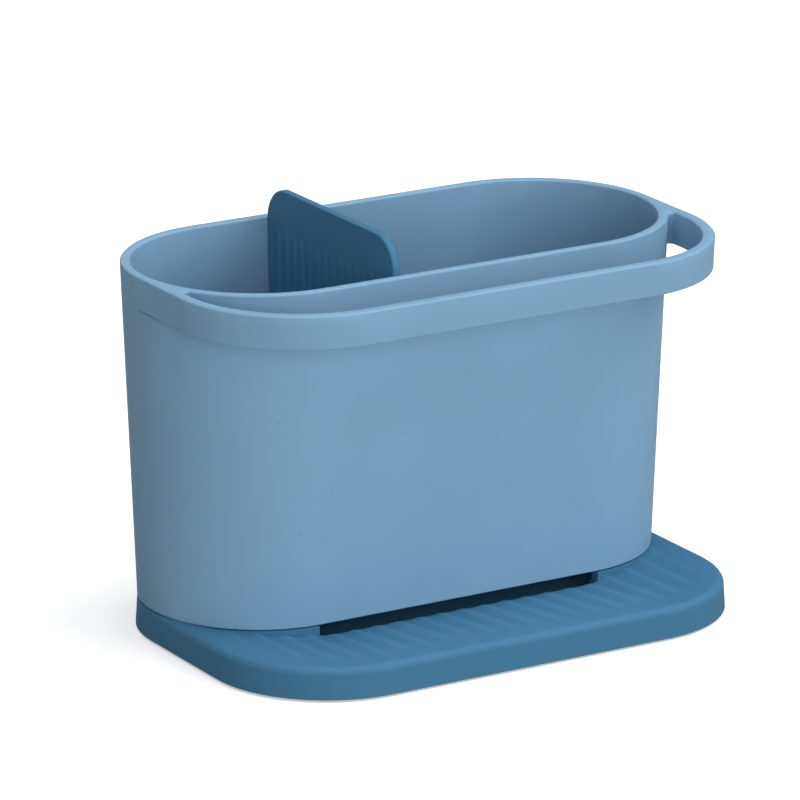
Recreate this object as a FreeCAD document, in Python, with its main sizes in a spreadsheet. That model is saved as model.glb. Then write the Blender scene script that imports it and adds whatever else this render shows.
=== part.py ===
"""Kitchen sink caddy: a tapered holder with a cloth rail, standing on a ribbed drip tray.

Millimetres, +Z up, front towards -Y. The origin is on the surface that the caddy stands on,
at the centre of its overall box. Every piece is drawn about the holder's upright axis.
"""
import FreeCAD, Part
import Sketcher
import os

SIZES = {
    # Holder
    "rim_length": 200.0,
    "rim_width": 92.1,
    "holder_height": 116.9,
    "wall_lean": 4.54,
    "holder_wall": 3.6,
    "rim_bevel": 0.8,
    "floor_thickness": 2.8,
    "floor_lift": 3.4,
    "floor_bevel": 3.5,
    "skirt_wall": 2.0,
    # Cloth rail on the holder's front
    "rail_reach": 74.4,
    "rail_thickness": 4.4,
    "rail_height": 11.6,
    "rail_side": 28.9,
    "notch_round": 1.2,
    # Drain slots in the holder's floor
    "drain_width": 4.0,
    "drain_spacing": 16.8,
    "drain_end_inset": 17.0,
    "drain_side_inset": 17.0,
    # Divider and its guides
    "divider_thickness": 3.0,
    "divider_rise": 11.7,
    "divider_corner": 12.0,
    "divider_clearance": 0.5,
    "divider_edge_bevel": 0.6,
    "divider_band": 17.5,
    "divider_foot": 4.0,
    "divider_reed_spacing": 5.2,
    "divider_reed_height": 0.4,
    "guide_thickness": 1.8,
    "guide_depth": 3.0,
    "guide_height": 50.0,
    # Drip tray
    "tray_reach": 87.2,
    "tray_height": 10.6,
    "tray_flare": 0.6,
    "tray_round": 2.7,
    "tray_wall": 2.4,
    "tray_floor": 3.0,
    "platform_inset": 0.06,
    "lip_wall": 1.6,
    "lip_height": 2.2,
    "lip_clearance": 0.4,
    # Ribbed ramp and the drain slot that it runs into
    "slot_inset": 40.6,
    "slot_height": 3.7,
    "ramp_corner": 1.0,
    "reed_spacing": 8.4,
    "reed_height": 0.5,
    "reed_root": 2.0,
    "reed_tip_inset": 8.0,
    # Feet
    "foot_diameter": 12.0,
    "foot_thickness": 2.0,
    "foot_taper": 0.4,
    "foot_proud": 0.8,
    "foot_clearance": 0.2,
    "foot_boss_wall": 2.0,
    "foot_inset": 25.5,
    "foot_end_inset": 29.5,
    # Length by which a cutting shape runs past what it cuts
    "overrun": 1.0,
}

doc = FreeCAD.newDocument("SinkCaddy")
sheet = doc.addObject("Spreadsheet::Sheet", "Sizes")
for row, (alias, number) in enumerate(SIZES.items(), start=1):
    sheet.set(f"A{row}", alias)
    sheet.set(f"B{row}", str(number))
    sheet.setAlias(f"B{row}", alias)
doc.recompute()

# Sizes that several pieces share, as expressions over the sheet.
DRAFT = "(Sizes.wall_lean / Sizes.holder_height)"
RIM_HALF_LENGTH = "(Sizes.rim_length / 2)"
RIM_HALF_WIDTH = "(Sizes.rim_width / 2)"
BASE_HALF_LENGTH = f"({RIM_HALF_LENGTH} - Sizes.wall_lean)"
BASE_HALF_WIDTH = f"({RIM_HALF_WIDTH} - Sizes.wall_lean)"
FLOOR_TOP = "(Sizes.floor_lift + Sizes.floor_thickness)"
FLOOR_HALF_LENGTH = f"({BASE_HALF_LENGTH} + {DRAFT} * {FLOOR_TOP} - Sizes.holder_wall)"
FLOOR_HALF_WIDTH = f"({BASE_HALF_WIDTH} + {DRAFT} * {FLOOR_TOP} - Sizes.holder_wall)"
RAIL_CORNER = "(Sizes.rail_reach - Sizes.rail_side)"
DIVIDER_OFFSET = "(-1.5 * Sizes.drain_spacing)"
TRAY_FRONT = "(Sizes.tray_reach - Sizes.tray_flare)"
RAMP_DEPTH = "(Sizes.slot_height + Sizes.reed_height)"
RAMP_RUN = f"({TRAY_FRONT} - Sizes.tray_round - {BASE_HALF_WIDTH})"
RAMP_HALF_LENGTH = f"({BASE_HALF_LENGTH} - Sizes.tray_round)"
RAMP_REACH = f"({TRAY_FRONT} - Sizes.tray_round)"
RAMP_CORNER = f"({BASE_HALF_WIDTH} - Sizes.tray_round)"
SLOT_HALF_LENGTH = f"({BASE_HALF_LENGTH} - Sizes.slot_inset)"
TIP_SHARE = f"((Sizes.reed_tip_inset - Sizes.tray_round) / {RAMP_RUN})"
REED_COUNT = f"(2 * round({SLOT_HALF_LENGTH} / Sizes.reed_spacing + 0.5))"
LIP_INSET = "(Sizes.skirt_wall + Sizes.lip_clearance)"
AXIS_Y = f"((Sizes.tray_reach - {RIM_HALF_WIDTH}) / 2)"
SEAM_LEVEL = "(Sizes.foot_proud + Sizes.tray_height)"


def value(expression):
    """The number that an expression over the sheet gives now."""
    return float(sheet.evalExpression(expression))


# Sketches

# Lengths nearer than this count as equal.
SAME_PLACE = 1e-4

START_INDEX, END_INDEX, CENTRE_INDEX = 1, 2, 3
ORIGIN_POINT = (-1, 1)
X_AXIS = -1


def origin_feature(body, role):
    """The body's own origin plane or axis of the given role."""
    return next(feature for feature in body.Origin.OriginFeatures if feature.Role == role)


def new_sketch(body, name, role="XY_Plane", level="0"):
    """An empty sketch on one of the body's origin planes, moved along its normal."""
    sketch = body.newObject("Sketcher::SketchObject", name)
    sketch.AttachmentSupport = [(origin_feature(body, role), "")]
    sketch.MapMode = "FlatFace"
    sketch.setExpression("AttachmentOffset.Base.z", level)
    return sketch


def add_line(sketch, start, end):
    return sketch.addGeometry(Part.LineSegment(FreeCAD.Vector(*start), FreeCAD.Vector(*end)))


def add_arc(sketch, centre, radius, first_turn, last_turn):
    """An arc drawn anticlockwise between two directions, given in quarter turns from +X."""
    quarter = FreeCAD.Units.Quantity("90 deg").getValueAs("rad").Value
    circle = Part.Circle(FreeCAD.Vector(*centre), FreeCAD.Vector(0, 0, 1), radius)
    return sketch.addGeometry(Part.ArcOfCircle(circle, first_turn * quarter, last_turn * quarter))


def relate(sketch, kind, *places):
    sketch.addConstraint(Sketcher.Constraint(kind, *places))


def dimension(sketch, kind, places, name, expression):
    """A named dimension that follows an expression over the sheet."""
    index = sketch.addConstraint(Sketcher.Constraint(kind, *places, value(expression)))
    sketch.renameConstraint(index, name)
    sketch.setExpression(f"Constraints.{name}", expression)


def join_tangent(sketch, loop):
    """Join each edge's end to the next edge's start, with one tangent."""
    for edge, following in zip(loop, loop[1:] + loop[:1]):
        relate(sketch, "Tangent", edge, END_INDEX, following, START_INDEX)


def stadium(sketch, half_length, half_width):
    """A straight-sided oblong with round ends, each end two quarter arcs."""
    radius = value(half_width)
    centre_x = value(f"{half_length} - {half_width}")
    front = add_line(sketch, (-centre_x, -radius), (centre_x, -radius))
    right_front = add_arc(sketch, (centre_x, 0), radius, 3, 4)
    right_back = add_arc(sketch, (centre_x, 0), radius, 0, 1)
    back = add_line(sketch, (centre_x, radius), (-centre_x, radius))
    left_back = add_arc(sketch, (-centre_x, 0), radius, 1, 2)
    left_front = add_arc(sketch, (-centre_x, 0), radius, 2, 3)
    for first, second in ((front, right_front), (right_back, back), (back, left_back), (left_front, front)):
        relate(sketch, "Tangent", first, END_INDEX, second, START_INDEX)
    for first, second in ((right_front, right_back), (left_back, left_front)):
        relate(sketch, "Coincident", first, END_INDEX, second, START_INDEX)
        relate(sketch, "Coincident", first, CENTRE_INDEX, second, CENTRE_INDEX)
        relate(sketch, "PointOnObject", first, CENTRE_INDEX, X_AXIS)
        relate(sketch, "PointOnObject", first, END_INDEX, X_AXIS)
    relate(sketch, "Horizontal", front)
    dimension(sketch, "Radius", (right_front,), "half_width", half_width)
    spread = f"{half_length} - {half_width}"
    dimension(sketch, "DistanceX", (*ORIGIN_POINT, right_front, CENTRE_INDEX), "right_centre", spread)
    dimension(sketch, "DistanceX", (left_back, CENTRE_INDEX, *ORIGIN_POINT), "left_centre", spread)


def straight_sides(sketch, left, right, front, back, half_length, front_reach, back_reach):
    """Place four straight sides by their distances from the origin."""
    relate(sketch, "Horizontal", front)
    relate(sketch, "Horizontal", back)
    relate(sketch, "Vertical", left)
    relate(sketch, "Vertical", right)
    dimension(sketch, "DistanceX", (left, START_INDEX, *ORIGIN_POINT), "left_reach", half_length)
    dimension(sketch, "DistanceX", (*ORIGIN_POINT, right, START_INDEX), "right_reach", half_length)
    dimension(sketch, "DistanceY", (front, START_INDEX, *ORIGIN_POINT), "front_reach", front_reach)
    dimension(sketch, "DistanceY", (*ORIGIN_POINT, back, START_INDEX), "back_reach", back_reach)


def rounded_box(sketch, half_length, front_reach, back_reach, corner):
    """A rectangle with four round corners."""
    side, fore, aft, radius = (value(item) for item in (half_length, front_reach, back_reach, corner))
    inner = side - radius
    front = add_line(sketch, (-inner, -fore), (inner, -fore))
    right_front = add_arc(sketch, (inner, radius - fore), radius, 3, 4)
    right = add_line(sketch, (side, radius - fore), (side, aft - radius))
    right_back = add_arc(sketch, (inner, aft - radius), radius, 0, 1)
    back = add_line(sketch, (inner, aft), (-inner, aft))
    left_back = add_arc(sketch, (-inner, aft - radius), radius, 1, 2)
    left = add_line(sketch, (-side, aft - radius), (-side, radius - fore))
    left_front = add_arc(sketch, (-inner, radius - fore), radius, 2, 3)
    join_tangent(sketch, [front, right_front, right, right_back, back, left_back, left, left_front])
    straight_sides(sketch, left, right, front, back, half_length, front_reach, back_reach)
    dimension(sketch, "Radius", (right_front,), "corner", corner)
    for arc in (right_back, left_back, left_front):
        relate(sketch, "Equal", right_front, arc)


def round_front(sketch, half_length, front_reach, corner, back_reach="0"):
    """A rectangle whose two front corners are round and whose back corners are square."""
    side, fore, aft, radius = (value(item) for item in (half_length, front_reach, back_reach, corner))
    inner = side - radius
    front = add_line(sketch, (-inner, -fore), (inner, -fore))
    right_front = add_arc(sketch, (inner, radius - fore), radius, 3, 4)
    right = add_line(sketch, (side, radius - fore), (side, aft))
    back = add_line(sketch, (side, aft), (-side, aft))
    left = add_line(sketch, (-side, aft), (-side, radius - fore))
    left_front = add_arc(sketch, (-inner, radius - fore), radius, 2, 3)
    corners = ((front, right_front), (right_front, right), (left, left_front), (left_front, front))
    for first, second in corners:
        relate(sketch, "Tangent", first, END_INDEX, second, START_INDEX)
    for first, second in ((right, back), (back, left)):
        relate(sketch, "Coincident", first, END_INDEX, second, START_INDEX)
    straight_sides(sketch, left, right, front, back, half_length, front_reach, back_reach)
    dimension(sketch, "Radius", (right_front,), "corner", corner)
    relate(sketch, "Equal", right_front, left_front)


def polygon(sketch, label, corners):
    """A closed outline of straight edges, each corner placed by two expressions from the origin."""
    places = [(value(across), value(up)) for across, up in corners]
    edges = [add_line(sketch, *pair) for pair in zip(places, places[1:] + places[:1])]
    for edge, following in zip(edges, edges[1:] + edges[:1]):
        relate(sketch, "Coincident", edge, END_INDEX, following, START_INDEX)
    for count, (edge, (across, up)) in enumerate(zip(edges, corners), start=1):
        dimension(sketch, "DistanceX", (*ORIGIN_POINT, edge, START_INDEX), f"{label}_across_{count}", across)
        dimension(sketch, "DistanceY", (*ORIGIN_POINT, edge, START_INDEX), f"{label}_up_{count}", up)


def reed_section(sketch, across, crest, cross_slope="0"):
    """A reed's cross-section: a low arch over one spacing, tilted with the ramp and rooted in it."""
    half = "(Sizes.reed_spacing / 2)"
    corners = []
    for side_share, fall_share in REED_ARCH_SHARES:
        rise = f"{cross_slope} * {side_share} * {half}"
        level = f"({crest} + {rise} - {fall_share} * Sizes.reed_height)"
        corners.append((f"({across} + {side_share} * {half})", level))
    corners.append((f"({across} + {half})", f"({crest} - Sizes.reed_root)"))
    corners.append((f"({across} - {half})", f"({crest} - Sizes.reed_root)"))
    polygon(sketch, "reed", corners)


def circle(sketch, label, across, up, diameter):
    place = FreeCAD.Vector(value(across), value(up), 0)
    ring = sketch.addGeometry(Part.Circle(place, FreeCAD.Vector(0, 0, 1), value(f"{diameter} / 2")))
    dimension(sketch, "Diameter", (ring,), f"{label}_diameter", diameter)
    dimension(sketch, "DistanceX", (*ORIGIN_POINT, ring, CENTRE_INDEX), f"{label}_across", across)
    dimension(sketch, "DistanceY", (*ORIGIN_POINT, ring, CENTRE_INDEX), f"{label}_up", up)


# Features

def new_body(label, raise_by, shift_x="0"):
    """A body whose own frame is on the holder's axis, at the given height."""
    body = doc.addObject("PartDesign::Body", label)
    body.Label = label
    place_on_axis(body, raise_by, shift_x)
    return body


def place_on_axis(piece, raise_by, shift_x="0"):
    """Put a piece's own origin on the holder's upright axis."""
    piece.setExpression("Placement.Base.x", shift_x)
    piece.setExpression("Placement.Base.y", AXIS_Y)
    piece.setExpression("Placement.Base.z", raise_by)


def extrude(body, kind, sketch, length, reverse=False, both_ways=False):
    """A Pad or Pocket of a sketch, over a length that follows the sheet."""
    before = body.Shape.Volume if body.Tip else 0
    feature = body.newObject(f"PartDesign::{kind}", f"{sketch.Name}_{kind.lower()}")
    feature.Profile = sketch
    feature.setExpression("Length", length)
    feature.Reversed = reverse
    feature.Midplane = both_ways
    doc.recompute()
    if kind == "Pocket" and body.Shape.Volume >= before:
        raise RuntimeError(f"{feature.Name} cuts nothing")
    return feature


def loft(body, kind, first, others):
    """A straight-sided loft through sketches of like edges."""
    feature = body.newObject(f"PartDesign::{kind}", f"{first.Name}_loft")
    feature.Profile = first
    feature.Sections = others
    feature.Ruled = True
    doc.recompute()
    return feature


def repeat(body, feature, role, step, count):
    """Copies of a feature in a row along one of the body's axes."""
    pattern = body.newObject("PartDesign::LinearPattern", f"{feature.Name}_row")
    pattern.Originals = [feature]
    pattern.Direction = (origin_feature(body, role), [""])
    pattern.setExpression("Length", f"{step} * ({count} - 1)")
    pattern.setExpression("Occurrences", count)
    body.Tip = pattern
    doc.recompute()
    return pattern


def mirror(body, features, role):
    """The features again on the other side of one of the body's planes."""
    pair = body.newObject("PartDesign::Mirrored", f"{features[0].Name}_pair")
    pair.Originals = features
    pair.MirrorPlane = (origin_feature(body, role), [""])
    body.Tip = pair
    doc.recompute()
    return pair


def round_edges(body, name, radius, chosen):
    """Round the edges of the body's last feature that a test picks out."""
    last = body.Tip
    names = [f"Edge{count}" for count, edge in enumerate(last.Shape.Edges, start=1) if chosen(edge)]
    feature = body.newObject("PartDesign::Fillet", name)
    feature.Base = (last, names)
    feature.setExpression("Radius", radius)
    body.Tip = feature
    doc.recompute()
    return feature


def bevel_edges(body, name, size, chosen):
    """Bevel the edges of the body's last feature that a test picks out."""
    last = body.Tip
    names = [f"Edge{count}" for count, edge in enumerate(last.Shape.Edges, start=1) if chosen(edge)]
    feature = body.newObject("PartDesign::Chamfer", name)
    feature.Base = (last, names)
    feature.setExpression("Size", size)
    body.Tip = feature
    doc.recompute()
    return feature


def near(first, second):
    return abs(first - second) < SAME_PLACE


def lies_at(edge, level):
    """Whether an edge is level and at a height in the body's own frame."""
    height = value(level)
    return near(edge.BoundBox.ZMin, height) and near(edge.BoundBox.ZMax, height)


# Holder

def make_holder():
    body = new_body("holder", SEAM_LEVEL)
    add_rail(body)
    add_bucket(body)
    add_drains(body)
    add_guides(body)
    return body


def add_rail(body):
    """A hood with round front corners, cut through to leave the rail. It leans as the bucket does."""
    sections = []
    for name, drop in (("rail_low", "Sizes.rail_height"), ("rail_top", "0")):
        section = new_sketch(body, name, level=f"Sizes.holder_height - {drop}")
        lean = f"{DRAFT} * {drop}"
        round_front(section, f"({RIM_HALF_LENGTH} - {lean})", f"(Sizes.rail_reach - {lean})",
                    f"({RAIL_CORNER} - {lean})")
        sections.append(section)
    loft(body, "AdditiveLoft", sections[0], sections[1:])
    gap = new_sketch(body, "rail_gap", level="Sizes.holder_height")
    round_front(gap, f"({RIM_HALF_LENGTH} - Sizes.rail_thickness)",
                "(Sizes.rail_reach - Sizes.rail_thickness)",
                f"({RAIL_CORNER} - Sizes.rail_thickness)", "Sizes.overrun")
    extrude(body, "Pocket", gap, "Sizes.rail_height + Sizes.overrun")


def add_bucket(body):
    """The tapered oblong bucket, hollowed to an even wall, with a skirt under its floor."""
    base = new_sketch(body, "base_outline")
    stadium(base, BASE_HALF_LENGTH, BASE_HALF_WIDTH)
    rim = new_sketch(body, "rim_outline", level="Sizes.holder_height")
    stadium(rim, RIM_HALF_LENGTH, RIM_HALF_WIDTH)
    loft(body, "AdditiveLoft", base, [rim])
    notch_reach = value(f"{RIM_HALF_LENGTH} - Sizes.rail_thickness / 2")
    round_edges(body, "rail_notches", "Sizes.notch_round",
                lambda edge: near(edge.BoundBox.ZLength, value("Sizes.rail_height"))
                and edge.CenterOfMass.y < 0 and abs(edge.CenterOfMass.x) < notch_reach)

    cavity_floor = new_sketch(body, "cavity_floor", level=FLOOR_TOP)
    stadium(cavity_floor, f"({FLOOR_HALF_LENGTH} - Sizes.floor_bevel)",
            f"({FLOOR_HALF_WIDTH} - Sizes.floor_bevel)")
    cavity_low = new_sketch(body, "cavity_low", level=f"{FLOOR_TOP} + Sizes.floor_bevel")
    rise = f"{DRAFT} * Sizes.floor_bevel"
    stadium(cavity_low, f"({FLOOR_HALF_LENGTH} + {rise})", f"({FLOOR_HALF_WIDTH} + {rise})")
    cavity_rim = new_sketch(body, "cavity_rim", level="Sizes.holder_height")
    stadium(cavity_rim, f"({RIM_HALF_LENGTH} - Sizes.holder_wall)", f"({RIM_HALF_WIDTH} - Sizes.holder_wall)")
    loft(body, "SubtractiveLoft", cavity_floor, [cavity_low, cavity_rim])
    bevel_edges(body, "rim_edges", "Sizes.rim_bevel", lambda edge: lies_at(edge, "Sizes.holder_height"))

    skirt = new_sketch(body, "skirt_recess")
    stadium(skirt, f"({BASE_HALF_LENGTH} - Sizes.skirt_wall)", f"({BASE_HALF_WIDTH} - Sizes.skirt_wall)")
    extrude(body, "Pocket", skirt, "Sizes.floor_lift", reverse=True)


def add_drains(body):
    """A row of slots through the floor."""
    count = f"(2 * floor(({FLOOR_HALF_LENGTH} - Sizes.drain_end_inset) / Sizes.drain_spacing) + 1)"
    middle = f"-Sizes.drain_spacing * ({count} - 1) / 2"
    half_width = "Sizes.drain_width / 2"
    reach = f"({FLOOR_HALF_WIDTH} - Sizes.drain_side_inset)"
    drain = new_sketch(body, "drain_slot", level=FLOOR_TOP)
    polygon(drain, "drain", [
        (f"({middle} - {half_width})", f"-{reach}"),
        (f"({middle} + {half_width})", f"-{reach}"),
        (f"({middle} + {half_width})", reach),
        (f"({middle} - {half_width})", reach),
    ])
    slot = extrude(body, "Pocket", drain, "Sizes.floor_thickness + Sizes.overrun")
    repeat(body, slot, "X_Axis", "Sizes.drain_spacing", count)


def add_guides(body):
    """Two pairs of ribs, low on the front and back walls, that hold the divider's edges."""
    step = "(Sizes.divider_thickness + 2 * Sizes.divider_clearance + Sizes.guide_thickness)"
    guide = new_sketch(body, "guide_rib", "YZ_Plane", f"{DIVIDER_OFFSET} - {step} / 2")
    low = f"({FLOOR_TOP} - Sizes.floor_thickness / 2)"
    high = f"({FLOOR_TOP} + Sizes.guide_height)"
    high_half_width = f"({FLOOR_HALF_WIDTH} + {DRAFT} * Sizes.guide_height)"
    for label, side in (("front", "-1"), ("back", "1")):
        polygon(guide, label, [
            (f"{side} * ({FLOOR_HALF_WIDTH} - Sizes.guide_depth)", low),
            (f"{side} * ({FLOOR_HALF_WIDTH} + Sizes.holder_wall / 2)", low),
            (f"{side} * ({high_half_width} + Sizes.holder_wall / 2)", high),
            (f"{side} * ({high_half_width} - Sizes.guide_depth)", high),
        ])
    ribs = extrude(body, "Pad", guide, "Sizes.guide_thickness", both_ways=True)
    repeat(body, ribs, "X_Axis", step, "2")


# Divider

def make_divider():
    body = new_body("divider", f"{SEAM_LEVEL} + {FLOOR_TOP}", DIVIDER_OFFSET)
    height = f"(Sizes.holder_height - {FLOOR_TOP} + Sizes.divider_rise)"
    foot_half_width = f"({FLOOR_HALF_WIDTH} - Sizes.divider_clearance)"
    top_half_width = f"({foot_half_width} + {DRAFT} * {height})"
    cut = "(Sizes.floor_bevel + Sizes.divider_clearance)"
    plate = new_sketch(body, "plate_outline", "YZ_Plane")
    polygon(plate, "plate", [
        (f"-({foot_half_width} - {cut})", "0"),
        (f"({foot_half_width} - {cut})", "0"),
        (f"({foot_half_width} + {DRAFT} * {cut})", cut),
        (top_half_width, height),
        (f"-{top_half_width}", height),
        (f"-({foot_half_width} + {DRAFT} * {cut})", cut),
    ])
    extrude(body, "Pad", plate, "Sizes.divider_thickness", both_ways=True)
    thickness = value("Sizes.divider_thickness")
    round_edges(body, "top_corners", "Sizes.divider_corner",
                lambda edge: near(edge.BoundBox.XLength, thickness) and lies_at(edge, height))
    bevel_edges(body, "plate_edges", "Sizes.divider_edge_bevel",
                lambda edge: near(edge.BoundBox.XLength, 0) and near(abs(edge.CenterOfMass.x), thickness / 2))
    add_plate_reeds(body, height)
    return body


def add_plate_reeds(body, height):
    """Upright reeds that stand a little proud of both faces between the guides, below a plain band."""
    clear_width = f"(2 * ({FLOOR_HALF_WIDTH} - Sizes.guide_depth) - Sizes.divider_thickness)"
    count = f"floor({clear_width} / Sizes.divider_reed_spacing)"
    radius = "(Sizes.divider_thickness / 2 + Sizes.divider_reed_height)"
    top = f"({height} - Sizes.divider_band)"
    reed = new_sketch(body, "plate_reed", "YZ_Plane")
    reed.setExpression("AttachmentOffset.Base.x", f"-Sizes.divider_reed_spacing * ({count} - 1) / 2")
    polygon(reed, "reed", [
        ("0", "Sizes.divider_foot"),
        (radius, "Sizes.divider_foot"),
        (radius, top),
        ("0", top),
    ])
    rod = body.newObject("PartDesign::Revolution", "plate_reed_rod")
    rod.Profile = reed
    rod.ReferenceAxis = (reed, ["V_Axis"])
    doc.recompute()
    repeat(body, rod, "Y_Axis", "Sizes.divider_reed_spacing", count)


# Drip tray

def make_tray():
    body = new_body("drip_tray", "Sizes.foot_proud")
    add_tray_shell(body)
    add_ramp(body)
    add_reeds(body)
    add_platform(body)
    return body


def add_tray_shell(body):
    """A shallow flared lid shape, round along its top edge and open below."""
    outline = new_sketch(body, "tray_outline")
    rounded_box(outline, BASE_HALF_LENGTH, TRAY_FRONT, BASE_HALF_WIDTH, BASE_HALF_WIDTH)
    block = extrude(body, "Pad", outline, "Sizes.tray_height")
    flare_walls(body, block)
    round_edges(body, "tray_edge", "Sizes.tray_round", lambda edge: lies_at(edge, "Sizes.tray_height"))
    hollow = new_sketch(body, "tray_hollow")
    rounded_box(hollow, f"({BASE_HALF_LENGTH} - Sizes.tray_wall)", f"({TRAY_FRONT} - Sizes.tray_wall)",
                f"({BASE_HALF_WIDTH} - Sizes.tray_wall)", f"({BASE_HALF_WIDTH} - Sizes.tray_wall)")
    extrude(body, "Pocket", hollow, "Sizes.tray_height - Sizes.tray_wall", reverse=True)
    bosses = new_sketch(body, "foot_bosses")
    boss_diameter = "(Sizes.foot_diameter + 2 * Sizes.foot_clearance + 2 * Sizes.foot_boss_wall)"
    for label, across, along in foot_places():
        if label.endswith("front"):
            circle(bosses, label, across, along, boss_diameter)
    extrude(body, "Pad", bosses, "Sizes.tray_height - Sizes.tray_wall")


def flare_walls(body, block):
    """Lean the tray's walls out from its top face down to the worktop."""
    walls, top = [], []
    for count, face in enumerate(block.Shape.Faces, start=1):
        if near(face.BoundBox.ZLength, value("Sizes.tray_height")):
            walls.append(f"Face{count}")
        elif near(face.BoundBox.ZMin, value("Sizes.tray_height")):
            top.append(f"Face{count}")
    draft = body.newObject("PartDesign::Draft", "tray_walls")
    draft.Base = (block, walls)
    draft.NeutralPlane = (block, top)
    draft.setExpression("Angle", "atan(Sizes.tray_flare / Sizes.tray_height)")
    body.Tip = draft
    doc.recompute()


# Places of a side reed's sections on its way up the ramp, after its level start.
REED_CLIMB_SHARES = (0, 0, 0.5, 1)
# A reed's arch from right to left: shares of half the spacing, and of the reed's height.
REED_ARCH_SHARES = ((1, 1), (0.5, 0.25), (0, 0), (-0.5, 0.25), (-1, 1))


def ramp_outline(share):
    """Half length, reach and corner of the ramp's level line: share 0 is its upper edge, share 1 the slot."""
    inset = f"{RAMP_RUN} * {share}"
    corner = f"max({RAMP_CORNER} - {inset}; Sizes.ramp_corner)"
    return f"({RAMP_HALF_LENGTH} - {inset})", f"({RAMP_REACH} - {inset})", corner


def ramp_level(share):
    return f"(Sizes.tray_height - {RAMP_DEPTH} * {share})"


def add_ramp(body):
    """An evenly sloping dish, round at its corners, that falls from three sides to the drain slot."""
    turn_share = f"(({RAMP_CORNER} - Sizes.ramp_corner) / {RAMP_RUN})"
    for name, kind, drop in (("web", "AdditiveLoft", "Sizes.tray_wall"), ("ramp", "SubtractiveLoft", "0")):
        sections = []
        for place, share in (("edge", "0"), ("turn", turn_share), ("foot", "1")):
            section = new_sketch(body, f"{name}_{place}", level=f"{ramp_level(share)} - {drop}")
            round_front(section, *ramp_outline(share))
            sections.append(section)
        loft(body, kind, sections[0], sections[1:])


def reed_crest(share):
    """Height of a reed's crest, which leaves the ramp at the reed's tip and is highest at the slot."""
    return f"({ramp_level(share)} + Sizes.reed_height * ({share} - {TIP_SHARE}) / (1 - {TIP_SHARE}))"


def add_reeds(body):
    """Reeds that rise out of the ramp towards the slot: a row in front of it, and more at each side."""
    foot = new_sketch(body, "reed_foot", "XZ_Plane", BASE_HALF_WIDTH)
    crest = reed_crest("1")
    across = f"(-Sizes.reed_spacing * ({REED_COUNT} - 1) / 2)"
    reed_section(foot, across, crest)
    run = f"({TRAY_FRONT} - Sizes.reed_tip_inset - {BASE_HALF_WIDTH})"
    reed = extrude(body, "Pad", foot, run)
    reed.UseCustomVector = True
    reed.Direction = FreeCAD.Vector(0, -value(run), value(f"{reed_crest(TIP_SHARE)} - {crest}"))
    reed.setExpression("Direction.y", f"-{run}")
    reed.setExpression("Direction.z", f"{reed_crest(TIP_SHARE)} - {crest}")
    doc.recompute()
    repeat(body, reed, "X_Axis", "Sizes.reed_spacing", REED_COUNT)
    side_reeds = []
    across = f"(Sizes.reed_spacing * ({REED_COUNT} + 1) / 2)"
    while value(across) < value(f"{RAMP_HALF_LENGTH} - Sizes.reed_spacing"):
        side_reeds.append(add_side_reed(body, f"side_reed_{len(side_reeds) + 1}", across))
        across = f"({across} + Sizes.reed_spacing)"
    if side_reeds:
        mirror(body, side_reeds, "YZ_Plane")


def add_side_reed(body, name, across):
    """A reed beside the slot. It runs level from the platform, then climbs round the ramp's corner."""
    side_share = f"(({RAMP_HALF_LENGTH} - {across}) / {RAMP_RUN})"
    along = f"({across} - {RAMP_HALF_LENGTH} + {RAMP_CORNER})"
    sections = []
    for count, climb_share in enumerate(REED_CLIMB_SHARES):
        share = f"({side_share} * (1 - {climb_share}) + {TIP_SHARE} * {climb_share})"
        corner = f"({RAMP_CORNER} - {RAMP_RUN} * {share})"
        forward = f"sqrt(max(0; {corner} ^ 2 - {along} ^ 2))"
        level = f"({RAMP_REACH} - {RAMP_CORNER} + {forward})" if count else f"({BASE_HALF_WIDTH} / 2)"
        section = new_sketch(body, f"{name}_{count + 1}", "XZ_Plane", level)
        reed_section(section, across, reed_crest(share), f"({RAMP_DEPTH} / {RAMP_RUN} * {along} / {corner})")
        sections.append(section)
    return loft(body, "AdditiveLoft", sections[0], sections[1:])


def add_platform(body):
    """The oblong seat for the holder, with a well inside it, a locating lip and the drain slot."""
    seat = new_sketch(body, "platform")
    stadium(seat, f"({BASE_HALF_LENGTH} - Sizes.platform_inset)",
            f"({BASE_HALF_WIDTH} - Sizes.platform_inset)")
    extrude(body, "Pad", seat, "Sizes.tray_height")
    lip = new_sketch(body, "lip", level="Sizes.tray_height")
    stadium(lip, f"({BASE_HALF_LENGTH} - {LIP_INSET})", f"({BASE_HALF_WIDTH} - {LIP_INSET})")
    extrude(body, "Pad", lip, "Sizes.lip_height")
    well = new_sketch(body, "well", level="Sizes.tray_floor")
    well_inset = f"({LIP_INSET} + Sizes.lip_wall)"
    stadium(well, f"({BASE_HALF_LENGTH} - {well_inset})", f"({BASE_HALF_WIDTH} - {well_inset})")
    extrude(body, "Pocket", well, "Sizes.tray_height + Sizes.lip_height", reverse=True)
    slot = new_sketch(body, "drain_gate", level=f"(Sizes.tray_height - {RAMP_DEPTH})")
    back_edge = f"-({BASE_HALF_WIDTH} - {well_inset} - Sizes.overrun)"
    polygon(slot, "slot", [
        (f"-{SLOT_HALF_LENGTH}", f"-{BASE_HALF_WIDTH}"),
        (SLOT_HALF_LENGTH, f"-{BASE_HALF_WIDTH}"),
        (SLOT_HALF_LENGTH, back_edge),
        (f"-{SLOT_HALF_LENGTH}", back_edge),
    ])
    extrude(body, "Pocket", slot, f"{RAMP_DEPTH} + Sizes.lip_height", reverse=True)
    sockets = new_sketch(body, "foot_sockets")
    socket_diameter = "(Sizes.foot_diameter + 2 * Sizes.foot_clearance)"
    for label, across, along in foot_places():
        circle(sockets, label, across, along, socket_diameter)
    extrude(body, "Pocket", sockets, "Sizes.foot_thickness - Sizes.foot_proud", reverse=True)


# Feet

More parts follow.
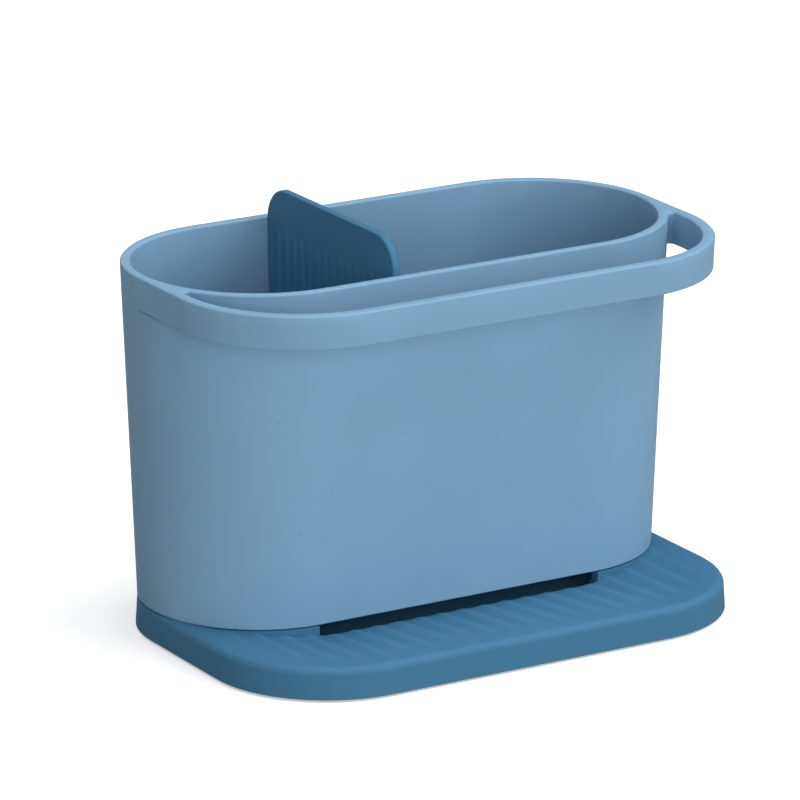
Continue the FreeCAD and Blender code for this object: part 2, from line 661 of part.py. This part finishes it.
def foot_places():
    """Name and place of each foot, from the holder's axis."""
    spread = f"({BASE_HALF_LENGTH} - Sizes.foot_end_inset)"
    for side, across in (("left", f"-{spread}"), ("right", spread)):
        yield f"{side}_front", across, f"-({TRAY_FRONT} - Sizes.foot_inset)"
        yield f"{side}_back", across, f"({BASE_HALF_WIDTH} - Sizes.foot_inset)"


def make_feet():
    """Four rubber discs, each a little narrower where it meets the worktop."""
    discs = []
    for label, across, along in foot_places():
        disc = doc.addObject("Part::Cone", f"{label}_foot")
        disc.setExpression("Radius1", "Sizes.foot_diameter / 2 - Sizes.foot_taper")
        disc.setExpression("Radius2", "Sizes.foot_diameter / 2")
        disc.setExpression("Height", "Sizes.foot_thickness")
        disc.setExpression("Placement.Base.x", across)
        disc.setExpression("Placement.Base.y", along)
        discs.append(disc)
    feet = doc.addObject("Part::Compound", "non_slip_feet")
    feet.Label = "non_slip_feet"
    feet.Links = discs
    place_on_axis(feet, "0")
    doc.recompute()
    return feet


def write_parts(pieces):
    """Write each sub-part to its own file, once everything has built soundly."""
    doc.recompute()
    for item in doc.Objects:
        if "Invalid" in item.State or "Error" in item.State:
            raise RuntimeError(f"{item.Name} failed: {item.State}")
    for piece in pieces:
        if piece.Shape.isNull() or not piece.Shape.isValid():
            raise RuntimeError(f"{piece.Label} has no sound shape")
    os.makedirs("parts", exist_ok=True)
    for piece in pieces:
        piece.Shape.exportStep(f"parts/{piece.Label}.step")


write_parts([make_tray(), make_holder(), make_divider(), make_feet()])
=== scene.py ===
"""Looks for the kitchen sink caddy: satin plastics, a fluted ramp, soft studio light and the camera."""
import math

import bmesh
import bpy
from mathutils import Matrix, Vector


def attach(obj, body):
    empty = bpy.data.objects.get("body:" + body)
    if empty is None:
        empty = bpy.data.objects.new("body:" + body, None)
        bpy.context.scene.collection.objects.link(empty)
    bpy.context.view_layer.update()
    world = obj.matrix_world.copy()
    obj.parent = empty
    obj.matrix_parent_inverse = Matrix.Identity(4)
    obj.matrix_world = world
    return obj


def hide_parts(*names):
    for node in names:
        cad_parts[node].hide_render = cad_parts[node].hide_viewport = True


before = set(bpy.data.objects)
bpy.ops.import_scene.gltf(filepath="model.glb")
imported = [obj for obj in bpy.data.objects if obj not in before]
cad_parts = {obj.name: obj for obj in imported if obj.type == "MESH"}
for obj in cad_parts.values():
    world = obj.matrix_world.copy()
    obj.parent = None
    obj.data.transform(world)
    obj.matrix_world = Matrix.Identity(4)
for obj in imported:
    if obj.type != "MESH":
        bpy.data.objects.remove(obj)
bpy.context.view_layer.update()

MM = 0.001


# Materials

def srgb(red, green, blue):
    """Linear colour of an sRGB colour given in 0 to 255."""
    def linear(channel):
        share = channel / 255
        return share / 12.92 if share <= 0.04045 else ((share + 0.055) / 1.055) ** 2.4
    return (linear(red), linear(green), linear(blue), 1.0)


def grey(level):
    """A neutral linear colour."""
    return (level, level, level, 1.0)


HOLDER_BLUE = srgb(127, 166, 195)
TRAY_BLUE = srgb(67, 119, 151)
RUBBER_GREY = srgb(44, 47, 51)
SATIN, MATT = 0.5, 0.8
GLOSS_CHANGE = 0.05
SPECULAR_LEVEL = 0.08

# The plastics' patterns. A scale is about the number of a pattern's cells along a metre.
MOTTLE_SCALE, MOTTLE_DETAIL, MOTTLE_SPAN, MOTTLE_SHARE = 28.0, 4.0, (0.3, 0.7), 0.025
SPECK_SCALE, SPECK_RADII = 130.0, (0.03, 0.06)
PLASTIC_SPECKS, RUBBER_SPECKS = 0.2, 0.1
GRAIN_SCALE, GRAIN_DETAIL, GRAIN_STRENGTH, GRAIN_DEPTH = 1400.0, 2.0, 0.06, 0.1 * MM
# Painted highlight: how much paler the ramp's ridges are made, standing in for the light that they catch.
PAINTED_RIDGE_HIGHLIGHT = 0.26


class Nodes:
    """The node tree of a material or a world, with short calls for the nodes used here."""

    def __init__(self, owner):
        owner.use_nodes = True
        self.owner = owner
        self.tree = owner.node_tree

    def fill(self, node, inputs):
        """Sets each named input of a node to a value, or joins it to another node's output."""
        for key, source in inputs.items():
            if isinstance(source, bpy.types.NodeSocket):
                self.tree.links.new(source, node.inputs[key])
            else:
                node.inputs[key].default_value = source

    def add(self, kind, inputs=None, **settings):
        node = self.tree.nodes.new(kind)
        for key, setting in settings.items():
            setattr(node, key, setting)
        self.fill(node, inputs or {})
        return node

    def ranged(self, source, low, high, span=(0.0, 1.0)):
        """Lays the source's span between low and high."""
        limits = {"From Min": span[0], "From Max": span[1], "To Min": low, "To Max": high}
        return self.add("ShaderNodeMapRange", {"Value": source, **limits}).outputs["Result"]

    def scaled(self, colour, factor):
        inputs = {0: colour, "Scale": factor}
        return self.add("ShaderNodeVectorMath", inputs, operation="SCALE").outputs["Vector"]

    def show(self, output, other_rays, camera_rays):
        """Shows the camera one shader, and all other rays another."""
        seen = self.add("ShaderNodeLightPath").outputs["Is Camera Ray"]
        either = self.add("ShaderNodeMixShader", {"Fac": seen, 1: other_rays, 2: camera_rays})
        self.fill(self.tree.nodes[output], {"Surface": either.outputs["Shader"]})


def moulded_plastic(name, colour, roughness, speck_depth, painted_highlight=0.0):
    """Moulded plastic or rubber: faint mottling, a few dark specks, a fine grain and a painted highlight that
    makes the ridges paler.
    """
    nodes = Nodes(bpy.data.materials.new(name))
    place = nodes.add("ShaderNodeTexCoord").outputs["Object"]
    pattern = {"Vector": place, "Scale": MOTTLE_SCALE, "Detail": MOTTLE_DETAIL}
    mottle = nodes.add("ShaderNodeTexNoise", pattern).outputs["Fac"]
    base = nodes.scaled(colour[:3], nodes.ranged(mottle, 1 - MOTTLE_SHARE, 1 + MOTTLE_SHARE, MOTTLE_SPAN))
    specks = nodes.add("ShaderNodeTexVoronoi", {"Vector": place, "Scale": SPECK_SCALE}, feature="F1")
    base = nodes.scaled(base, nodes.ranged(specks.outputs["Distance"], 1.0 - speck_depth, 1.0, SPECK_RADII))
    # Painted highlight: the ridges, marked by an attribute from the ramp's sheet, are made paler.
    if painted_highlight:
        ridge = nodes.add("ShaderNodeAttribute", attribute_name="painted_highlight_share").outputs["Fac"]
        base = nodes.scaled(base, nodes.ranged(ridge, 1.0, 1.0 + painted_highlight))
    pattern = {"Vector": place, "Scale": GRAIN_SCALE, "Detail": GRAIN_DETAIL}
    grain = nodes.add("ShaderNodeTexNoise", pattern).outputs["Fac"]
    bump = nodes.add("ShaderNodeBump", {"Height": grain, "Strength": GRAIN_STRENGTH, "Distance": GRAIN_DEPTH})
    nodes.fill(nodes.tree.nodes["Principled BSDF"], {
        "Base Color": base,
        "Roughness": nodes.ranged(mottle, roughness - GLOSS_CHANGE, roughness + GLOSS_CHANGE),
        "Normal": bump.outputs["Normal"],
        "Specular IOR Level": SPECULAR_LEVEL,
    })
    return nodes.owner


# Even shading of the CAD's facets

WELD = 0.002 * MM
SHARP_ANGLE = math.radians(50)
EASED_ANGLE = math.radians(55)
EASED_WIDTH, EASED_SEGMENTS = 0.35 * MM, 2
FACE_WEIGHT = 50


def geometry_tree(name, step):
    """Geometry nodes that pass a mesh through a step, a function from tree and socket to socket."""
    tree = bpy.data.node_groups.new(name, "GeometryNodeTree")
    tree.interface.new_socket("Geometry", in_out="INPUT", socket_type="NodeSocketGeometry")
    tree.interface.new_socket("Geometry", in_out="OUTPUT", socket_type="NodeSocketGeometry")
    socket = step(tree, tree.nodes.new("NodeGroupInput").outputs[0])
    tree.links.new(socket, tree.nodes.new("NodeGroupOutput").inputs[0])
    return tree


def join_facets(tree, socket):
    weld = tree.nodes.new("GeometryNodeMergeByDistance")
    weld.inputs["Distance"].default_value = WELD
    tree.links.new(socket, weld.inputs["Geometry"])
    return weld.outputs["Geometry"]


def shade_by_angle(tree, socket):
    """Smooth shading, except across edges sharper than SHARP_ANGLE."""
    angle = tree.nodes.new("GeometryNodeInputMeshEdgeAngle")
    gentle = tree.nodes.new("FunctionNodeCompare")
    gentle.data_type = "FLOAT"
    gentle.operation = "LESS_EQUAL"
    gentle.inputs["B"].default_value = SHARP_ANGLE
    faces = tree.nodes.new("GeometryNodeSetShadeSmooth")
    faces.domain = "FACE"
    edges = tree.nodes.new("GeometryNodeSetShadeSmooth")
    edges.domain = "EDGE"
    tree.links.new(socket, faces.inputs["Geometry"])
    tree.links.new(faces.outputs["Geometry"], edges.inputs["Geometry"])
    tree.links.new(angle.outputs["Unsigned Angle"], gentle.inputs["A"])
    tree.links.new(gentle.outputs["Result"], edges.inputs["Shade Smooth"])
    return edges.outputs["Geometry"]


joined_facets = geometry_tree("joined_facets", join_facets)
even_shading = geometry_tree("even_shading", shade_by_angle)


def soften(piece, width=0.0):
    """Merge doubled corners, ease the sharp edges if a width is given, and shade the rest evenly."""
    piece.modifiers.new("join", "NODES").node_group = joined_facets
    if width:
        ease = piece.modifiers.new("ease", "BEVEL")
        ease.limit_method = "ANGLE"
        ease.angle_limit = EASED_ANGLE
        ease.width = width
        ease.segments = EASED_SEGMENTS
        ease.use_clamp_overlap = False
    piece.modifiers.new("shading", "NODES").node_group = even_shading
    normals = piece.modifiers.new("normals", "WEIGHTED_NORMAL")
    normals.mode = "FACE_AREA"
    normals.weight = FACE_WEIGHT
    normals.keep_sharp = True


finishes = {
    "holder": moulded_plastic("holder_satin", HOLDER_BLUE, SATIN, PLASTIC_SPECKS),
    "divider": moulded_plastic("divider_satin", TRAY_BLUE, SATIN, PLASTIC_SPECKS),
    "non_slip_feet": moulded_plastic("foot_matt", RUBBER_GREY, MATT, RUBBER_SPECKS),
}
for node, material in finishes.items():
    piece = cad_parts[node]
    piece.data.materials.clear()
    piece.data.materials.append(material)
    soften(piece, EASED_WIDTH)


# Help with new pieces

def new_piece(name, shape):
    """A mesh object made from a bmesh, which is then freed."""
    mesh = bpy.data.meshes.new(name)
    shape.to_mesh(mesh)
    shape.free()
    piece = bpy.data.objects.new(name, mesh)
    bpy.context.scene.collection.objects.link(piece)
    return piece


def join_columns(shape, columns):
    """Faces between neighbouring columns of corners."""
    for left, right in zip(columns, columns[1:]):
        for row in range(len(left) - 1):
            shape.faces.new((left[row], right[row], right[row + 1], left[row + 1]))


def smooth_step(low, high, number):
    share = min(max((number - low) / (high - low), 0.0), 1.0)
    return share * share * (3 - 2 * share)


# The drip tray, with its ramp laid as a fine fluted sheet. Lengths are in mm.

# The ramp's upper edge, a rectangle with round corners. The fall grows to its full slope over EDGE_EASE.
EDGE_HALF, EDGE_FRONT, EDGE_CORNER, EDGE_LEVEL = 92.76, -63.325, 38.81, 11.4
EDGE_EASE = 6.0
# The platform that the holder stands on, an oblong.
AXIS_Y = 20.575
PLATFORM_HALF, PLATFORM_RADIUS = 53.95, 41.45
# The slot at the ramp's foot, the well behind it, and the round brow between the ramp and the slot.
SLOT_HALF, SLOT_FRONT, SLOT_LEVEL = 54.86, -20.935, 7.2
WELL_FRONT, WELL_LEVEL = -16.935, 3.8
BROW, BROW_TURNS = 0.5, (30, 60, 90)
RAMP_RUN = SLOT_FRONT - EDGE_FRONT
# The ridges rise between the two distances from the edge, grow from EDGE_SHARE of their height there to
# all of it at the slot, and lose SLOT_LOSS of it over the last SLOT_FADE.
RIDGE_SPACING, RIDGE_HEIGHT, RIDGE_POWER = 8.4, 0.7, 2.5
RIDGE_RISE, EDGE_SHARE = (4.0, 13.0), 0.75
SLOT_FADE, SLOT_LOSS = 5.0, 0.5
# The sheet's ends and a curb above them, up to CURB_TOP, lie inside the platform's wall by up to TUCK.
CURB_TOP, TUCK = 10.9, 0.1
# The shadow gap under the holder. It closes between the two distances from the ramp's ends, at y RAMP_END.
SEAM, SEAM_FADE, RAMP_END = 0.45, (3.0, 12.0), 6.019
# Corners of the sheet: steps to a ridge, even steps from the middle, steps where the edge turns, and rows.
RIDGE_STEPS, EVEN_STEPS, TURN_STEPS, ROWS = 12, 126, 12, 44
# How far a face or corner of the CAD tray may lie from a line, level or wall and still count as on it.
HAIR, NEAR, WALL_NEAR, SLOT_NEAR, RAMP_NEAR, REED_TIP = 0.001, 0.01, 0.02, 0.1, 0.2, 0.3
# How much of a face's normal at least points up, or to the front or back.
LEVEL_FACE, UPRIGHT_FACE, RAMP_FACE = 0.9, 0.999, 0.7


def ramp_inset(x, y):
    """Distance of a place on the ramp from the ramp's upper edge."""
    across, along = abs(x) - (EDGE_HALF - EDGE_CORNER), EDGE_FRONT + EDGE_CORNER - y
    if across > 0 and along > 0:
        return EDGE_CORNER - math.hypot(across, along)
    return min(EDGE_HALF - abs(x), y - EDGE_FRONT)


def platform_reach(x, y):
    """Distance of a place from the line along the middle of the platform."""
    return math.hypot(max(abs(x) - PLATFORM_HALF, 0.0), y - AXIS_Y)


def ridge_share(x, y):
    """0 in the middle of a flute and near the tray's edge, 1 on a ridge at the slot."""
    inset = ramp_inset(x, y)
    place = x / RIDGE_SPACING
    flank = 1 - 2 * abs(place - round(place))
    growth = EDGE_SHARE + (1 - EDGE_SHARE) * min(inset / RAMP_RUN, 1.0)
    return flank ** RIDGE_POWER * smooth_step(*RIDGE_RISE, inset) * growth


def ramp_point(x, y):
    inset = min(ramp_inset(x, y), RAMP_RUN)
    fall = inset - EDGE_EASE / 2 if inset > EDGE_EASE else inset * inset / (2 * EDGE_EASE)
    level = EDGE_LEVEL - (EDGE_LEVEL - SLOT_LEVEL) * fall / (RAMP_RUN - EDGE_EASE / 2)
    height = RIDGE_HEIGHT * (1 - SLOT_LOSS * smooth_step(RAMP_RUN - SLOT_FADE, RAMP_RUN, inset))
    return Vector((x, y, level + height * ridge_share(x, y)))


def ramp_columns():
    """Places across the ramp: even steps, closer ones where its edge turns, and the slot's ends."""
    half = [RIDGE_SPACING / RIDGE_STEPS * count for count in range(1, EVEN_STEPS + 1)]
    last = half[-1]
    for count in range(1, TURN_STEPS + 1):
        half.append(last + (EDGE_HALF - last) * math.sin(math.radians(90 / TURN_STEPS * count)))
    half = sorted(half + [PLATFORM_HALF, SLOT_HALF])
    return [-x for x in reversed(half)] + [0.0] + half


def ramp_ends(x):
    """Where a column starts at the ramp's upper edge, and where it ends at the slot or the platform."""
    across = max(abs(x) - (EDGE_HALF - EDGE_CORNER), 0.0)
    start = EDGE_FRONT + EDGE_CORNER - math.sqrt(max(EDGE_CORNER ** 2 - across ** 2, 0.0))
    if abs(x) < SLOT_HALF:
        return start, SLOT_FRONT - BROW
    radius = PLATFORM_RADIUS - TUCK * (EDGE_HALF - abs(x)) / (EDGE_HALF - SLOT_HALF)
    return start, AXIS_Y - math.sqrt(radius ** 2 - (abs(x) - PLATFORM_HALF) ** 2)


def laid_anew(face):
    """Whether a face of the CAD tray belongs to the ramp's top, to a reed's tip or to the slot's sill."""
    x, y, z = face.calc_center_median() / MM
    across_slot = SLOT_FRONT - SLOT_NEAR < y < WELL_FRONT + SLOT_NEAR
    at_slot = across_slot and WELL_LEVEL < z < SLOT_LEVEL + RIDGE_HEIGHT
    if at_slot and face.normal.z > LEVEL_FACE and abs(x) < SLOT_HALF:
        return True
    if at_slot and abs(face.normal.y) > UPRIGHT_FACE:
        return abs(x) < (SLOT_HALF + REED_TIP if y < SLOT_FRONT + NEAR else PLATFORM_HALF)
    if y > AXIS_Y or platform_reach(x, y) < PLATFORM_RADIUS + NEAR or ramp_inset(x, y) < HAIR:
        return False
    return face.normal.z > RAMP_FACE and SLOT_LEVEL - RAMP_NEAR < z < EDGE_LEVEL + NEAR


def open_seam(shape):
    """Eases the outer edge of the holder's shelf down, less so at the ramp's two ends."""
    for vert in shape.verts:
        x, y, z = vert.co / MM
        if abs(z - EDGE_LEVEL) < HAIR and abs(platform_reach(x, y) - PLATFORM_RADIUS) < WALL_NEAR:
            to_end = math.hypot(abs(x) - EDGE_HALF, y - RAMP_END)
            vert.co.z -= SEAM * MM * smooth_step(*SEAM_FADE, to_end)


def lay_ramp(shape):
    """Adds the fluted sheet, the rounded drop behind it into the well, and a curb inside the wall."""
    # Painted highlight: each corner's share of a ridge, which the material turns into paler ridges.
    painted_highlight_share = shape.verts.layers.float.new("painted_highlight_share")
    sheet, drop, sill, curb = [], [], {-1: [], 1: []}, {-1: [], 1: []}

    def corner(x, y, z):
        return shape.verts.new(Vector((x, y, z)) * MM)

    def drop_corners(x, top):
        """Corners round the brow, down to the well's floor and along it."""
        for turn in map(math.radians, BROW_TURNS):
            yield corner(x, SLOT_FRONT - BROW + BROW * math.sin(turn), top - BROW * (1 - math.cos(turn)))
        yield corner(x, SLOT_FRONT, WELL_LEVEL)
        yield corner(x, WELL_FRONT, WELL_LEVEL)

    for x in ramp_columns():
        start, end = ramp_ends(x)
        column = []
        for row in range(ROWS + 1):
            y = start + (end - start) * row / ROWS
            column.append(corner(*ramp_point(x, y)))
            column[-1][painted_highlight_share] = ridge_share(x, y)
        sheet.append(column)
        foot, side = column[-1], 1 if x > 0 else -1
        if abs(x) <= PLATFORM_HALF:
            drop.append([foot, *drop_corners(x, foot.co.z / MM)])
        if PLATFORM_HALF <= abs(x) <= SLOT_HALF:
            sill[side].append([foot, corner(x, WELL_FRONT, SLOT_LEVEL)])
        if abs(x) >= SLOT_HALF and foot.co.z < CURB_TOP * MM:
            curb[side].append([foot, corner(x, end, CURB_TOP)])
    for columns in (sheet, drop, *sill.values(), *curb.values()):
        join_columns(shape, columns)
    # The walls at the drop's two ends.
    shape.faces.new((*reversed(drop[0]), sill[-1][-1][1]))
    shape.faces.new((*drop[-1], sill[1][0][1]))


def fluted_tray():
    """The CAD tray's other faces, with the ramp laid anew between them."""
    shape = bmesh.new()
    shape.from_mesh(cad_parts["drip_tray"].data)
    bmesh.ops.remove_doubles(shape, verts=shape.verts, dist=WELD)
    shape.normal_update()
    bmesh.ops.delete(shape, geom=[face for face in shape.faces if laid_anew(face)], context="FACES")
    open_seam(shape)
    lay_ramp(shape)
    tray = new_piece("fluted_tray", shape)
    tray.data.materials.append(moulded_plastic("tray_satin", TRAY_BLUE, SATIN, PLASTIC_SPECKS, PAINTED_RIDGE_HIGHLIGHT))
    soften(tray)
    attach(tray, "tray")
    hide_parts("drip_tray")


fluted_tray()


# The divider's soft ribs, over the reeds of both its faces. Lengths are in mm.

PLATE_X, PLATE_HALF = -25.2, 1.5
RIB_SPACING, RIB_COUNT, RIB_STEPS = 5.2, 14, 12
RIB_HEIGHT, RIB_FOOT, RIB_RISE, RIB_SUNK = 0.46, 20.4, 1.0, 0.03
# The outermost ribs start above the divider's guides. All fade out towards the plain band.
GUIDE_TOP, GUIDE_CLEARANCE = 67.6, 1.4
OUTER_FOOT = GUIDE_TOP + GUIDE_CLEARANCE
FADE_START, FADE_END = 122.6, 127.4
# Levels of the corners: closer together where the ribs rise and where they fade.
RIB_LEVELS = (
    RIB_FOOT, 20.9, 21.4, 40.0, 60.0,
    OUTER_FOOT, 71.0, 73.0, 76.0, 100.0,
    FADE_START, 123.4, 124.2, 125.0, 125.8, 126.6, FADE_END,
)


def soft_ribs():
    """A sheet of round ribs on each face, sunk a hair into the plate between them."""
    shape = bmesh.new()
    start = AXIS_Y - RIB_SPACING * RIB_COUNT / 2
    for side in (-1, 1):
        columns = []
        for step in range(RIB_STEPS * RIB_COUNT + 1):
            y = start + RIB_SPACING * step / RIB_STEPS
            arch = math.sin(math.pi * step / RIB_STEPS) ** 2
            outermost = step < RIB_STEPS or step > RIB_STEPS * (RIB_COUNT - 1)
            low = OUTER_FOOT if outermost else RIB_FOOT
            column = []
            for z in RIB_LEVELS:
                height = RIB_HEIGHT * arch * smooth_step(low, low + RIB_RISE, z)
                height *= 1 - smooth_step(FADE_START, FADE_END, z)
                x = PLATE_X + side * (PLATE_HALF - RIB_SUNK + height)
                column.append(shape.verts.new(Vector((x, y, z)) * MM))
            columns.append(column)
        join_columns(shape, columns if side > 0 else columns[::-1])
    ribs = new_piece("divider_ribs", shape)
    ribs.data.materials.append(finishes["divider"])
    ribs.data.shade_smooth()
    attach(ribs, "divider")


soft_ribs()


# Floor, light and camera

# Lengths of the floor and the lights are in metres.
FLOOR_HALF = 3.0
FLOOR_GREY, FLOOR_ROUGHNESS = grey(0.35), 0.9
FLOOR_WHITE, FLOOR_GLOW = grey(0.85), 0.4
WHITE = grey(1.0)
WORLD_STRENGTH = 0.03

# Name, azimuth, elevation and power of each soft box. Azimuth 0 is in front, 90 at the caddy's right.
LIGHTS = (
    ("left_low", -35, 12, 33.0),
    ("left_high", -75, 45, 8.0),
    ("front", 0, 12, 19.0),
    ("right_low", 35, 12, 10.0),
    ("right", 35, 45, 18.0),
    ("right_high", 75, 45, 37.0),
    ("top", 0, 89, 46.0),
    ("back", 180, 12, 30.0),
)
LIGHT_DISTANCE, LIGHT_SIZE = 3.0, 1.7
LIGHT_AIM = Vector((0, 0, 60 * MM))

# The camera's lengths are in mm, apart from CAMERA_END, the farthest that it sees, in metres.
CAMERA_AZIMUTH, CAMERA_ELEVATION, CAMERA_ROLL = map(math.radians, (-30.973, 17.148, 0.035))
CAMERA_TARGET, CAMERA_DISTANCE = (1.083, 20.575, 69.828), 2225.829
CAMERA_LENS, CAMERA_SENSOR, CAMERA_END = 295.355, 36.0, 20.0


def way_to(azimuth, elevation):
    """Direction from the caddy to a light or the camera."""
    level = math.cos(elevation)
    return Vector((math.sin(azimuth) * level, -math.cos(azimuth) * level, math.sin(elevation)))


def add_floor():
    """A floor that takes the shadow, paler to the camera than to the light."""
    corners = [(x * FLOOR_HALF, y * FLOOR_HALF, 0) for x, y in ((-1, -1), (1, -1), (1, 1), (-1, 1))]
    mesh = bpy.data.meshes.new("floor")
    mesh.from_pydata(corners, [], [(0, 1, 2, 3)])
    floor = bpy.data.objects.new("floor", mesh)
    bpy.context.scene.collection.objects.link(floor)
    nodes = Nodes(bpy.data.materials.new("floor_white"))
    shader = nodes.tree.nodes["Principled BSDF"]
    nodes.fill(shader, {"Base Color": FLOOR_GREY, "Roughness": FLOOR_ROUGHNESS})
    matt = nodes.add("ShaderNodeBsdfDiffuse", {"Color": FLOOR_WHITE})
    glow = nodes.add("ShaderNodeEmission", {"Strength": FLOOR_GLOW})
    white = nodes.add("ShaderNodeAddShader", {0: matt.outputs["BSDF"], 1: glow.outputs["Emission"]})
    nodes.show("Material Output", shader.outputs["BSDF"], white.outputs["Shader"])
    mesh.materials.append(nodes.owner)


def add_world():
    """Even light from all round, and plain white where the camera looks past the floor."""
    nodes = Nodes(bpy.data.worlds.new("studio"))
    light = nodes.tree.nodes["Background"]
    nodes.fill(light, {"Color": WHITE, "Strength": WORLD_STRENGTH})
    white = nodes.add("ShaderNodeBackground", {"Color": WHITE})
    nodes.show("World Output", light.outputs["Background"], white.outputs["Background"])
    bpy.context.scene.world = nodes.owner


def add_light(name, azimuth, elevation, power):
    """A square soft box that looks at the caddy."""
    way = way_to(math.radians(azimuth), math.radians(elevation))
    light = bpy.data.lights.new(name, "AREA")
    light.size = LIGHT_SIZE
    light.energy = power
    lamp = bpy.data.objects.new(name, light)
    lamp.location = LIGHT_AIM + way * LIGHT_DISTANCE
    lamp.rotation_euler = way.to_track_quat("Z", "Y").to_euler()
    bpy.context.scene.collection.objects.link(lamp)


def add_camera():
    """A long lens at the photograph's viewing angle."""
    target = Vector(CAMERA_TARGET) * MM
    back = way_to(CAMERA_AZIMUTH, CAMERA_ELEVATION)
    level = Vector((math.cos(CAMERA_AZIMUTH), math.sin(CAMERA_AZIMUTH), 0))
    upright = back.cross(level)
    right = math.cos(CAMERA_ROLL) * level + math.sin(CAMERA_ROLL) * upright
    up = math.cos(CAMERA_ROLL) * upright - math.sin(CAMERA_ROLL) * level
    lens = bpy.data.cameras.new("camera")
    lens.sensor_width = CAMERA_SENSOR
    lens.lens = CAMERA_LENS
    lens.clip_end = CAMERA_END
    camera = bpy.data.objects.new("camera", lens)
    turn = Matrix((right, up, back)).transposed().to_4x4()
    camera.matrix_world = Matrix.Translation(target + back * CAMERA_DISTANCE * MM) @ turn
    bpy.context.scene.collection.objects.link(camera)
    bpy.context.scene.camera = camera


add_floor()
add_world()
for light in LIGHTS:
    add_light(*light)
add_camera()
bpy.context.scene.view_settings.view_transform = "Standard"
